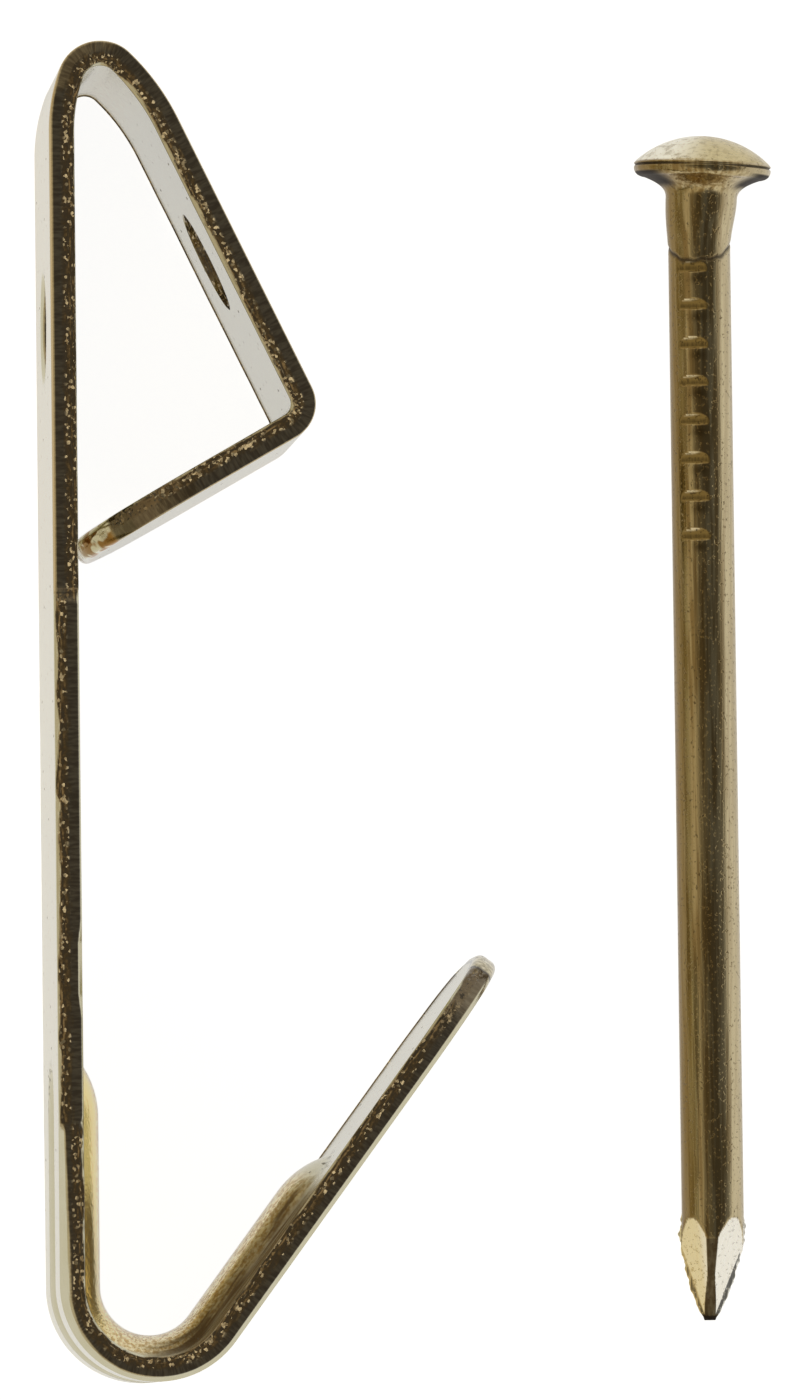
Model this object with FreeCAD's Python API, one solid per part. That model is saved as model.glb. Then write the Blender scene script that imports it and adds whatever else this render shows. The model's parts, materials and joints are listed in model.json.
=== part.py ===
import FreeCAD, Part
import math
import os

Vector = FreeCAD.Vector
UP = Vector(0, 0, 1)

# A picture hook folded from one strip of sheet steel, lying on the edge of the strip beside its nail.
# X runs away from the wall side, Y along the back of the hook, Z across the strip, up from the table.
# Lengths are millimetres and angles are degrees.

# Strip
strip_width = 12.0
sheet_thickness = 0.95
end_corner_radius = 5.0
rollover_radius = 0.2

# Folds, in order from the free end of the arm; lengths lie on the outer face
hook_height = 50.8
arm_length = 17.65
bottom_bend_angle = 143.7
bottom_bend_inner_radius = 2.72
crown_lead_angle = 20.0
crown_lead_inner_radius = 5.98
crown_angle = 114.1
crown_inner_radius = 0.68
crown_run_out_angle = 20.0
crown_run_out_inner_radius = 7.91
tongue_length = 11.4
corner_angle = 86.3
corner_inner_radius = 0.5
leg_tip_gap = 0.06

# Nail holes
nail_hole_diameter = 4.0
guide_hole_from_crown = 5.1
nail_slope = 23.8

# Stiffening rib, pressed through the strip round the bottom bend
rib_height = 0.85
rib_crest_radius = 3.67
rib_length_on_back = 6.45
rib_length_on_arm = 5.8

# Nail
nail_length = 45.75
shank_diameter = 2.4
head_diameter = 5.3
dome_height = 1.1
rim_thickness = 0.53
head_cone_height = 0.82
collar_diameter = 2.76
collar_length = 2.1
head_hollow = 0.2
head_skew = 2.9
point_half_angle = 14.5
point_tip_width = 0.3
point_turn = 5.0
point_skew = 2.3
ridge_flattening = 0.175
fin_width = 2.77
fin_thickness = 0.16
fin_from_tip = 2.6
fin_tip_width = 0.78
fin_tip_rise = 0.3

# Grip marks, in two rows on opposite sides of the shank
grip_mark_count = 8
grip_mark_pitch = 1.48
grip_mark_depth = 0.16
grip_mark_length = 0.42
grip_marks_from_head = 5.25
grip_turn = 20.0

# Layout of the pair on the table
nail_side_gap = 6.05
nail_tip_from_bottom = 2.2
nail_lean = 0.3


def along(heading):
    """Unit vector of a heading, counted clockwise from +Y."""
    turn = math.radians(heading)
    return Vector(math.sin(turn), math.cos(turn), 0)


def inward(heading):
    """Unit vector to the inside of the folds, on the right of a heading."""
    return along(heading + 90)


class Straight:
    """A flat stretch of the strip, given by its outer face."""

    def __init__(self, start, heading, length):
        self.start = start
        self.heading = heading
        self.end = start + along(heading) * length
        self.end_heading = heading
        self.length = length

    def edge(self, depth):
        shift = inward(self.heading) * depth
        return Part.LineSegment(self.start + shift, self.end + shift).toShape()

    def tube(self, depth, radius):
        shift = inward(self.heading) * depth + UP * (strip_width / 2)
        return Part.makeCylinder(radius, self.length, self.start + shift, along(self.heading))


class Bend:
    """A clockwise bend of the strip, given by its inner radius."""

    def __init__(self, start, heading, inner_radius, angle):
        self.start = start
        self.heading = heading
        self.angle = angle
        self.outer_radius = inner_radius + sheet_thickness
        self.centre = start + inward(heading) * self.outer_radius
        self.end = self.point(angle, 0)
        self.end_heading = heading + angle

    def point(self, turn, depth):
        return self.centre - inward(self.heading + turn) * (self.outer_radius - depth)

    def edge(self, depth):
        ends = [self.point(self.angle * share, depth) for share in (0, 0.5, 1)]
        return Part.Arc(*ends).toShape()

    def tube(self, depth, radius):
        middle = self.point(0, depth) + UP * (strip_width / 2)
        ring = Part.Wire(Part.Circle(middle, along(self.heading), radius).toShape())
        return Part.Face(ring).revolve(self.centre, UP, -self.angle)


def fold_strip():
    """The stretches of the strip from the free end of the arm to the free end of the leg."""
    bottom_radius = bottom_bend_inner_radius + sheet_thickness
    lead_radius = crown_lead_inner_radius + sheet_thickness
    crown_radius = crown_inner_radius + sheet_thickness
    lead_rise = math.sin(math.radians(crown_lead_angle))
    crown_rise = lead_radius * lead_rise + crown_radius * (1 - lead_rise)
    back_length = hook_height - bottom_radius - crown_rise

    arm_heading = -bottom_bend_angle
    bend_start = Vector(bottom_radius, bottom_radius, 0) - inward(arm_heading) * bottom_radius
    arm = Straight(bend_start - along(arm_heading) * arm_length, arm_heading, arm_length)
    bottom = Bend(arm.end, arm.end_heading, bottom_bend_inner_radius, bottom_bend_angle)
    back = Straight(bottom.end, bottom.end_heading, back_length)
    lead = Bend(back.end, back.end_heading, crown_lead_inner_radius, crown_lead_angle)
    crown = Bend(lead.end, lead.end_heading, crown_inner_radius, crown_angle)
    run_out = Bend(crown.end, crown.end_heading, crown_run_out_inner_radius, crown_run_out_angle)
    tongue = Straight(run_out.end, run_out.end_heading, tongue_length)
    corner = Bend(tongue.end, tongue.end_heading, corner_inner_radius, corner_angle)

    # The inner edge of the leg's end comes to rest just short of the front of the back
    leg_heading = corner.end_heading
    tip_x = sheet_thickness + leg_tip_gap - inward(leg_heading).x * sheet_thickness
    leg = Straight(corner.end, leg_heading, (tip_x - corner.end.x) / along(leg_heading).x)
    return arm, bottom, back, lead, crown, run_out, tongue, corner, leg


def band(stretches, near, far):
    """The slab between two depths under the outer face, over the whole width of the strip."""
    near_edges = [stretch.edge(near) for stretch in stretches]
    far_edges = [stretch.edge(far) for stretch in stretches]
    first = stretches[0]
    last = stretches[-1]
    caps = []
    for point, heading in ((first.start, first.heading), (last.end, last.end_heading)):
        side = inward(heading)
        caps.append(Part.LineSegment(point + side * near, point + side * far).toShape())
    outline = Part.Wire(Part.__sortEdges__(near_edges + far_edges + caps))
    return Part.Face(outline).extrude(UP * strip_width)


def round_ends(strip, stretches):
    """Round the corners of both free ends, as seen on the face of the strip."""
    radius = min(end_corner_radius, 0.48 * strip_width)
    ends = (stretches[0].edge(sheet_thickness / 2).Vertexes[0].Point,
            stretches[-1].edge(sheet_thickness / 2).Vertexes[-1].Point)
    corners = []
    for edge in strip.Edges:
        middle = edge.CenterOfMass
        flat_middle = Vector(middle.x, middle.y, 0)
        short = abs(edge.Length - sheet_thickness) < 1e-6
        if short and min(flat_middle.distanceToPoint(end) for end in ends) < 1e-6:
            corners.append(edge)
    return strip.makeFillet(radius, corners)


def roll_outer_edges(strip, stretches):
    """Round the edge that the shear drew down, all round the outer face."""
    skin = Part.makeCompound([stretch.edge(0).extrude(UP * strip_width) for stretch in stretches])
    rolled = []
    for edge in strip.Edges:
        spans_width = edge.BoundBox.ZLength > 0.999 * strip_width
        points = edge.discretize(5)
        on_skin = all(skin.distToShape(Part.Vertex(point))[0] < 1e-5 for point in points)
        if on_skin and not spans_width:
            rolled.append(edge)
    return strip.makeFillet(rollover_radius, rolled)


def rib_tube(arm, bottom, back, radius):
    """A round bar along the rib with ball ends; its axis lies behind the outer face."""
    depth = sheet_thickness + rib_height - rib_crest_radius
    arm_end = Straight(arm.end - along(arm.heading) * rib_length_on_arm, arm.heading, rib_length_on_arm)
    back_end = Straight(back.start, back.heading, rib_length_on_back)
    tube = bottom.tube(depth, radius)
    for stretch in (arm_end, back_end):
        tube = tube.fuse(stretch.tube(depth, radius))
    middle = UP * (strip_width / 2)
    tips = (arm_end.start + inward(arm.heading) * depth, back_end.end + inward(back.heading) * depth)
    for tip in tips:
        tube = tube.fuse(Part.makeSphere(radius, tip + middle))
    return tube


def press_rib(strip, arm, bottom, back):
    """Raise the rib on the inside and press its groove into the outer face, at one wall thickness."""
    inside = band((arm, bottom, back), sheet_thickness / 2, sheet_thickness + 2 * rib_height)
    crest = rib_tube(arm, bottom, back, rib_crest_radius).common(inside)
    groove = rib_tube(arm, bottom, back, rib_crest_radius - sheet_thickness)
    return strip.fuse(crest).cut(groove).removeSplitter()


def punch_holes(strip, back, tongue):
    """The hole in the tongue that guides the nail, and the hole in the back that it leaves by."""
    middle = UP * (strip_width / 2)
    guide = tongue.start + along(tongue.heading) * guide_hole_from_crown
    guide_middle = guide + inward(tongue.heading) * (sheet_thickness / 2)
    run = guide_middle.x - sheet_thickness / 2
    exit_y = guide_middle.y - run * math.tan(math.radians(nail_slope))
    exit_middle = Vector(sheet_thickness / 2, exit_y, 0)
    for point, heading in ((guide_middle, tongue.heading), (exit_middle, back.heading)):
        start = point - inward(heading) * sheet_thickness + middle
        punch = Part.makeCylinder(nail_hole_diameter / 2, 2 * sheet_thickness, start, inward(heading))
        strip = strip.cut(punch)
    return strip


def make_hook():
    stretches = fold_strip()
    arm, bottom, back = stretches[:3]
    tongue = stretches[6]
    strip = band(stretches, 0, sheet_thickness)
    strip = round_ends(strip, stretches)
    strip = roll_outer_edges(strip, stretches)
    strip = press_rib(strip, arm, bottom, back)
    return punch_holes(strip, back, tongue), arm


def nail_head():
    """Domed head, rim, hollowed underside and collar, turned about the nail's axis, tip at the origin."""
    rim_top = nail_length - dome_height
    rim_foot = rim_top - rim_thickness
    collar_top = rim_foot - head_cone_height
    collar_foot = collar_top - collar_length
    rim = head_diameter / 2
    dome_radius = (rim ** 2 + dome_height ** 2) / (2 * dome_height)
    half_turn = math.asin(rim / dome_radius) / 2
    dome_middle = Vector(dome_radius * math.sin(half_turn),
                         nail_length - dome_radius * (1 - math.cos(half_turn)), 0)
    top = Vector(0, nail_length, 0)
    centre = Vector(0, collar_foot, 0)
    shank_end = Vector(shank_diameter / 2, collar_foot, 0)
    collar_end = Vector(collar_diameter / 2, collar_top, 0)
    rim_low = Vector(rim, rim_foot, 0)
    rim_high = Vector(rim, rim_top, 0)
    slant = (rim_low - collar_end).normalize()
    hollow_middle = (collar_end + rim_low) / 2 + Vector(-slant.y, slant.x, 0) * head_hollow
    curves = [Part.LineSegment(centre, shank_end), Part.LineSegment(shank_end, collar_end),
              Part.Arc(collar_end, hollow_middle, rim_low), Part.LineSegment(rim_low, rim_high),
              Part.Arc(rim_high, dome_middle, top), Part.LineSegment(top, centre)]
    outline = Part.Wire([curve.toShape() for curve in curves])
    return Part.Face(outline).revolve(Vector(0, 0, 0), Vector(0, 1, 0), 360)


def point_waste(offset, slope):
    """What one cutter takes off the point: all beyond a plane at this offset from the axis at the tip."""
    reach = 2 * shank_diameter
    lap = shank_diameter / 4
    wedge = Part.makePolygon([Vector(offset - lap * slope, -lap, 0), Vector(reach, -lap, 0),
                              Vector(reach, (reach - offset) / slope, 0), Vector(offset - lap * slope, -lap, 0)])
    waste = Part.Face(wedge).extrude(UP * (2 * reach))
    waste.translate(UP * -reach)
    return waste


def pinch_point(shank):
    """Cut the four facets of the point and flatten its upper and lower ridge, and leave the thin fins that
    the pinching dies squeeze out. The dies stand a little askew, so the tip lies beside the axis."""
    tip_offset = point_tip_width / 2
    slope = math.tan(math.radians(point_half_angle))
    facet_length = (shank_diameter / 2 - tip_offset) / slope
    base = Vector(0, facet_length, 0)
    cuts = [(45 + 90 * quarter, tip_offset, slope) for quarter in range(4)]
    cuts += [(turn, tip_offset * math.sqrt(2) - ridge_flattening, slope * math.sqrt(2)) for turn in (90, 270)]
    for turn, offset, cut_slope in cuts:
        waste = point_waste(offset, cut_slope)
        waste.rotate(Vector(0, 0, 0), Vector(0, 1, 0), turn)
        waste.rotate(base, UP, -point_skew)
        shank = shank.cut(waste)
    side = [(tip_offset, 0), (fin_tip_width / 2, fin_tip_rise), (fin_width / 2, fin_from_tip),
            (shank_diameter / 2, facet_length)]
    right = [Vector(x, y, 0) for x, y in side]
    left = [Vector(-x, y, 0) for x, y in reversed(side)]
    plate = Part.Face(Part.makePolygon(right + left + right[:1])).extrude(UP * fin_thickness)
    plate.translate(UP * (-fin_thickness / 2))
    plate.rotate(base, UP, -point_skew)
    return shank.fuse(plate)


def cut_grip_marks(nail):
    """Two rows of crescent bites, each with a steep foot and a floor that rises towards the head."""
    floor = shank_diameter / 2 - grip_mark_depth
    outside = shank_diameter
    rise = grip_mark_length * (outside - floor) / grip_mark_depth
    first = nail_length - grip_marks_from_head
    for row in (0, 180):
        for mark in range(grip_mark_count):
            foot = first - mark * grip_mark_pitch
            profile = Part.makePolygon([Vector(0, foot, floor), Vector(0, foot, outside),
                                        Vector(0, foot + rise, outside), Vector(0, foot, floor)])
            bite = Part.Face(profile).extrude(Vector(2 * shank_diameter, 0, 0))
            bite.translate(Vector(-shank_diameter, 0, 0))
            bite.rotate(Vector(0, 0, 0), Vector(0, 1, 0), row - grip_turn)
            nail = nail.cut(bite)
    return nail


def make_nail():
    """The nail along +Y with its tip at the origin."""
    shank_top = nail_length - dome_height - rim_thickness - head_cone_height - collar_length
    neck = Vector(0, shank_top, 0)
    shank = Part.makeCylinder(shank_diameter / 2, shank_top, Vector(0, 0, 0), Vector(0, 1, 0))
    shank = pinch_point(shank)
    shank.rotate(Vector(0, 0, 0), Vector(0, 1, 0), -point_turn)
    shank = cut_grip_marks(shank)
    head = nail_head()
    head.rotate(neck, UP, -head_skew)
    return shank.fuse(head).removeSplitter()


def lay_nail(nail, arm):
    """Lay the nail on the rim of its head and the end of its shank, beside the arm."""
    rim_foot = nail_length - dome_height - rim_thickness
    facet_at_ridge = (shank_diameter / 2 + ridge_flattening) / math.sqrt(2)
    shank_foot = (facet_at_ridge - point_tip_width / 2) / math.tan(math.radians(point_half_angle))
    tilt = math.atan((head_diameter - shank_diameter) / 2 / (rim_foot - shank_foot))
    tip_height = shank_diameter / 2 * math.cos(tilt) - shank_foot * math.sin(tilt)
    nail_x = arm.start.x + nail_side_gap + head_diameter / 2
    nail.rotate(Vector(0, 0, 0), Vector(1, 0, 0), math.degrees(tilt))
    nail.rotate(Vector(0, 0, 0), UP, nail_lean)
    nail.translate(Vector(nail_x, nail_tip_from_bottom, tip_height))
    return nail


def main():
    hook, arm = make_hook()
    nail = lay_nail(make_nail(), arm)
    box = Part.makeCompound([hook, nail]).optimalBoundingBox(False, False)
    to_origin = Vector(-box.Center.x, -box.Center.y, 0)
    os.makedirs("parts", exist_ok=True)
    for name, shape in (("hook", hook), ("nail", nail)):
        shape.translate(to_origin)
        shape.exportStep("parts/%s.step" % name)
        print(name, "valid", shape.isValid(), "solids", len(shape.Solids), "volume", round(shape.Volume, 2),
              shape.optimalBoundingBox(False, False))


main()
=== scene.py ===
# %% [markdown]
# A picture hook and its nail, laid on a pale table.
#
# The hook is one strip of steel that was sheared, punched, pressed and folded, and then brass plated.
# This lesson makes it in that order: first a flat blank with rounded ends, holes, rib and sheared edges,
# and then one fold of the whole blank along a line. The nail is one skin of rings, and a second tree of
# Geometry Nodes presses its two rows of grip marks. Sizes are in millimetres until a mesh is made.

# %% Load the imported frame
import json
import math
import bmesh
import bpy
import numpy as np
from mathutils import Matrix, Vector
from mathutils.geometry import delaunay_2d_cdt


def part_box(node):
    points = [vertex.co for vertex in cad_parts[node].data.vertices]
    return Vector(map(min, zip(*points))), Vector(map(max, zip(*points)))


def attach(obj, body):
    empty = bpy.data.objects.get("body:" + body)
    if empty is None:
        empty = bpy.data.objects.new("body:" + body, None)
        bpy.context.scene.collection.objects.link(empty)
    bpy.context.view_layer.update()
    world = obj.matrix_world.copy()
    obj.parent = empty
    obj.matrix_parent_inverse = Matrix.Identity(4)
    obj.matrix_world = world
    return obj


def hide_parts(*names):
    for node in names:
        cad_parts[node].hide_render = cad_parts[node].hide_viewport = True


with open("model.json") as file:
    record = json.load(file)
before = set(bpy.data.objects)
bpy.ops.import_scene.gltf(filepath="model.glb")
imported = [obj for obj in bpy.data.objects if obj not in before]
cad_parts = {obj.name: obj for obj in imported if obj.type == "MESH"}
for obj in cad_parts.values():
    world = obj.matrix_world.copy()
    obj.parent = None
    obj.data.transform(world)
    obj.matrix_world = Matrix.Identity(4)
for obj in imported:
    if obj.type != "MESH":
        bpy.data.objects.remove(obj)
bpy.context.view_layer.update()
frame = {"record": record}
MM = 0.001
hook_low, hook_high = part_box("hook")
print("hook, mm:", [round(side / MM, 2) for side in hook_high - hook_low])

# %% [markdown]
# The fold line.
#
# A sheet-metal worker reads a folded strip as straight runs and bends. The line below follows the outer
# face of the strip, from the free end of the arm to the free end of the leg that closes the nail guide.
# Every bend turns the same way, so an angle and an inner radius are all that a bend needs. A curve drawn
# by eye could give the same picture, but these are the sizes that a press tool is made from.

# %% Sizes of the runs and bends
strip_width = (hook_high.z - hook_low.z) / MM
sheet = 0.95
arm_length = 17.65
bottom_turn = 143.7
bottom_inner_radius = 2.72
folds = (
    ("arm", arm_length, None),
    ("bottom_bend", bottom_turn, bottom_inner_radius),
    ("back", 43.687, None),
    ("crown_lead", 20.0, 5.98),
    ("crown", 114.1, 0.68),
    ("crown_run_out", 20.0, 7.91),
    ("tongue", 11.4, None),
    ("corner", 86.3, 0.5),
    ("leg", 8.971, None),
)
print("runs and bends:", [name for name, size, radius in folds])

# %% Walk the line
run_step = 0.5
bend_step = math.radians(1.5)


def along(heading):
    return np.array([math.sin(heading), math.cos(heading)])


def inward(heading):
    return along(heading + math.pi / 2)


bottom_radius = bottom_inner_radius + sheet
heading = -math.radians(bottom_turn)
bend_start = np.array([bottom_radius, bottom_radius]) - inward(heading) * bottom_radius
fold_points = [bend_start - along(heading) * arm_length]
fold_lengths = [0.0]
starts = {}
for name, size, inner_radius in folds:
    start = fold_points[-1]
    starts[name] = fold_lengths[-1]
    if inner_radius is None:
        stations = np.linspace(0, size, math.ceil(size / run_step) + 1)[1:]
        fold_points += [start + along(heading) * station for station in stations]
        fold_lengths += [starts[name] + station for station in stations]
    else:
        radius = inner_radius + sheet
        bend = math.radians(size)
        turns = np.linspace(0, bend, math.ceil(bend / bend_step) + 1)[1:]
        centre = start + inward(heading) * radius
        fold_points += [centre - inward(heading + turn) * radius for turn in turns]
        fold_lengths += [starts[name] + radius * turn for turn in turns]
        heading += bend
blank_length = fold_lengths[-1]
print("strip along its outer face, mm:", round(blank_length, 2), "points on the line:", len(fold_points))

# %% Draw it as a curve
fold_curve = bpy.data.curves.new("fold_line", "CURVE")
fold_curve.dimensions = "3D"
spline = fold_curve.splines.new("POLY")
spline.points.add(len(fold_points) - 1)
for point, (x, y) in zip(spline.points, fold_points):
    point.co = (x * MM + hook_low.x, y * MM + hook_low.y, 0, 1)
fold_line = bpy.data.objects.new("fold_line", fold_curve)
bpy.context.scene.collection.objects.link(fold_line)
print("curve:", fold_line.name)

# %% [markdown]
# The outline of the blank and its two holes.
#
# The blank is drawn flat: X runs along the strip, Y across it and Z through the sheet from the outer face.
# A press shears the outline and punches the holes, and both leave the same kind of edge. So the outline
# and the holes are kept as closed loops with a normal that points out of the metal at each point.

# %% Draw the loops
half_width = strip_width / 2
end_radius = 5.0
hole_radius = 2.0
guide_hole_at = starts["tongue"] + 5.1
back_hole_at = starts["back"] + 40.312 - bottom_radius
loop_step = 0.1


def rounded_outline(length):
    """Points and normals round a strip with rounded ends, anticlockwise."""
    side = half_width - end_radius
    corners = ((length - end_radius, -side, -90), (length - end_radius, side, 0),
               (end_radius, side, 90), (end_radius, -side, 180))
    points = []
    normals = []
    for number, (x, y, angle) in enumerate(corners):
        count = math.ceil(end_radius * math.pi / 2 / loop_step)
        turns = np.radians(np.linspace(angle, angle + 90, count + 1))
        round_normals = np.stack([np.cos(turns), np.sin(turns)], 1)
        points.append(np.array([x, y]) + round_normals * end_radius)
        normals.append(round_normals)
        after = corners[(number + 1) % 4]
        run_start = points[-1][-1]
        run_end = np.array(after[:2]) + round_normals[-1] * end_radius
        count = math.ceil(np.linalg.norm(run_end - run_start) / loop_step)
        shares = np.linspace(0, 1, count + 1)[1:-1, None]
        points.append(run_start + (run_end - run_start) * shares)
        normals.append(np.repeat(round_normals[-1:], len(shares), 0))
    return np.concatenate(points), np.concatenate(normals)


def hole_outline(x):
    """Points and normals round a hole on the strip's centre line; its normals point into the hole."""
    count = math.ceil(2 * math.pi * hole_radius / loop_step)
    turns = np.linspace(0, 2 * math.pi, count, endpoint=False)
    rays = np.stack([np.cos(turns), np.sin(turns)], 1)
    return np.array([x, 0]) + rays * hole_radius, -rays


loops = [rounded_outline(blank_length), hole_outline(guide_hole_at), hole_outline(back_hole_at)]
print("points round the loops:", [len(points) for points, normals in loops])

# %% [markdown]
# The rib.
#
# A stiffening rib is pressed through the strip round the bottom bend: a crest on the inside, and a groove
# of the same depth on the outside. Its section is two arcs about one axis, so the wall keeps its thickness.
# A boolean would leave sharp creases at the foot of the rib. Here the two faces are height fields, and a
# smooth maximum gives the soft foot that pressed metal has.

# %% Heights of the two faces
rib_height = 0.85
crest_radius = 3.67
groove_radius = crest_radius - sheet
rib_axis = sheet + rib_height - crest_radius
rib_from = starts["bottom_bend"] - 5.8
rib_to = starts["back"] + 6.45
foot_softness = 0.16


def smooth_max(a, b):
    overlap = np.maximum(foot_softness - np.abs(a - b), 0)
    return np.maximum(a, b) + overlap ** 2 / (4 * foot_softness)


def rib_face(x, y, radius, flat_depth):
    """Depth of a face where a ball-ended bar of this radius lies behind the sheet."""
    past_end = np.maximum(np.maximum(rib_from - x, x - rib_to), 0)
    away = past_end ** 2 + y ** 2
    arch = rib_axis + np.sqrt(np.maximum(radius ** 2 - away, 0))
    return smooth_max(arch, np.full_like(arch, flat_depth))


print("rib along the strip, mm:", round(rib_to - rib_from, 2))

# %% [markdown]
# The sheared edge.
#
# A shear leaves four marks on an edge. One face is drawn down into a round rollover. Below it the punch
# burnishes a smooth band. Then the metal breaks, which leaves a grainy slope, and a small burr ends it.
# On this strip the rollover lies on the outer face, apart from a stretch of the back between two dies,
# where it lies on the front. The edge is made of rows of points, each with its depth and its inset, and
# the widths of rollover and burr change from place to place as a worn tool leaves them.

# %% Sizes of the edge
row_depths = np.array([0, 0.015, 0.05, 0.10, 0.15, 0.185, 0.215, 0.26, 0.33, 0.40, 0.475, 0.55, 0.62,
                       0.69, 0.735, 0.765, 0.80, 0.85, 0.90, 0.935, sheet])


def on_back(height):
    """Place along the strip of a point on the back, at this height above the bottom of the hook."""
    return starts["back"] + height - bottom_radius


flipped_from = on_back(9.7)
flipped_to = on_back(29.7)
flip_run = 0.25
rollovers = (
    (0.0, 0.17), (starts["bottom_bend"], 0.17), (starts["bottom_bend"] + 5.0, 0.20),
    (starts["back"], 0.40), (on_back(9.5), 0.22), (on_back(10.0), 0.06), (on_back(13.8), 0.06),
    (on_back(14.6), 0.16), (on_back(16.6), 0.16), (on_back(17.4), 0.06), (on_back(29.4), 0.06),
    (on_back(30.2), 0.10), (starts["crown_lead"], 0.10), (starts["crown"] + 0.5, 0.03),
    (blank_length, 0.03))
burrs = (
    (0.0, 0.04), (starts["back"], 0.05), (on_back(9.5), 0.05), (on_back(10.0), 0.09),
    (on_back(29.4), 0.09), (on_back(30.2), 0.02), (starts["crown"], 0.02),
    (starts["crown_run_out"], 0.10), (starts["corner"], 0.06), (blank_length, 0.02))
hole_rollovers = {"guide": 0.05, "back": 0.12}
hole_burr = 0.02
print("widest rollover, mm:", max(width for place, width in rollovers))

# %% Inset of the edge through the sheet
rollover_drop = 1.2
burr_drop = 0.9
break_slope = 0.03
break_from = 0.47


def smooth_step(low, high, value):
    share = np.clip((value - low) / (high - low), 0, 1)
    return share * share * (3 - 2 * share)


def plateau(rise, fall, value):
    """One between a ramp up and a ramp down, and nothing outside them."""
    return smooth_step(*rise, value) * (1 - smooth_step(*fall, value))


def edge_inset(depth, width, burr):
    """Inset of the edge from its outline, at a depth counted from the face with the rollover."""
    rollover = rollover_drop * np.maximum(width - depth, 0)
    slope = break_slope * np.clip((depth - break_from) / (sheet - break_from), 0, 1)
    return rollover + slope + burr_drop * np.maximum(burr - (sheet - depth), 0)


def flipped_share(x):
    return plateau((flipped_from - flip_run, flipped_from + flip_run),
                   (flipped_to - flip_run, flipped_to + flip_run), x)


print("inset at the outer face of the bottom bend, mm:", round(float(edge_inset(0.0, 0.20, 0.05)), 3))

# %% Press marks and grit
neck_rise = (starts["crown"] - 1.0, starts["crown"] - 0.4)
neck_fall = (starts["crown"] + 2.0, starts["crown"] + 2.8)
neck_drop = 0.11
nick_length = 0.5
nick_depth = 0.17


def press_marks(x, depth):
    """Where the sharp crown draws its outer half down, and the nick that the upper die left on the back."""
    in_nick = (x - flipped_to) / nick_length + 0.5
    nick = nick_depth * np.where((in_nick > 0) & (in_nick < 1), in_nick, 0)
    return plateau(neck_rise, neck_fall, x) * neck_drop * max(1 - depth / break_from, 0) + nick


def loop_noise(count, rows, reach, seed):
    """Seeded noise on a closed loop, smoothed over a reach of points, with unit spread."""
    noise = np.random.RandomState(seed).normal(size=(count, rows))
    spectrum = np.fft.fft(noise, axis=0)
    waves = np.fft.fftfreq(count)[:, None] * reach
    smooth = np.fft.ifft(spectrum * np.exp(-(waves * math.pi) ** 2), axis=0).real
    return smooth / smooth.std()


print("crown drawn down, mm:", neck_drop, "nick, mm:", nick_depth)

# %% Free ends of the strip
end_round = 0.32
end_turn = (0.55, 0.95)
cap_starts = {"arm": 0.85, "leg": 0.74}
cap_run = 0.04
shaded_lengths = {"arm": 4.5, "leg": 5.0}
shaded_shares = {"arm": 0.75, "leg": 0.70}
full_shade = 0.4


def quarter_round(share):
    return 1 - np.sqrt(np.clip(1 - share ** 2, 0, 1))


def end_marks(x, end_facing):
    """Shares of the painted pale cap on the arm's end, the painted highlight on the leg's end, and the shade
    before both.
    """
    covered = {}
    shade = 0
    for end, distance in (("arm", x), ("leg", blank_length - x)):
        facing = smooth_step(cap_starts[end], cap_starts[end] + cap_run, end_facing)
        covered[end] = facing * (distance < blank_length / 2)
        fade = smooth_step(full_shade * shaded_lengths[end], shaded_lengths[end], distance)
        shade = np.maximum(shade, shaded_shares[end] * (1 - fade))
    return covered["arm"], covered["leg"], shade


print("ends rounded by, mm:", end_round)

# %% Rows of one loop
face_inset = 0.55
inset_limit = face_inset - 0.03
lip_limit = face_inset - 0.02
edge_blend = 0.02
break_blend = 0.06
grit_height = 0.018
grit_reach = 1.6
burr_spread = 0.5
burr_reach = 4.0
burr_range = (0.2, 2.0)
hole_grain = 0.3
lip_width = 0.05
lip_turn = (0.2, 0.6)
shadow_lip_from = 0.1
lip_rise = ((0.0, 1.0), (0.02, 1.0), (0.025, 0.0))
share_names = ("edge", "break", "rolled", "cap", "bead", "shade")


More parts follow.
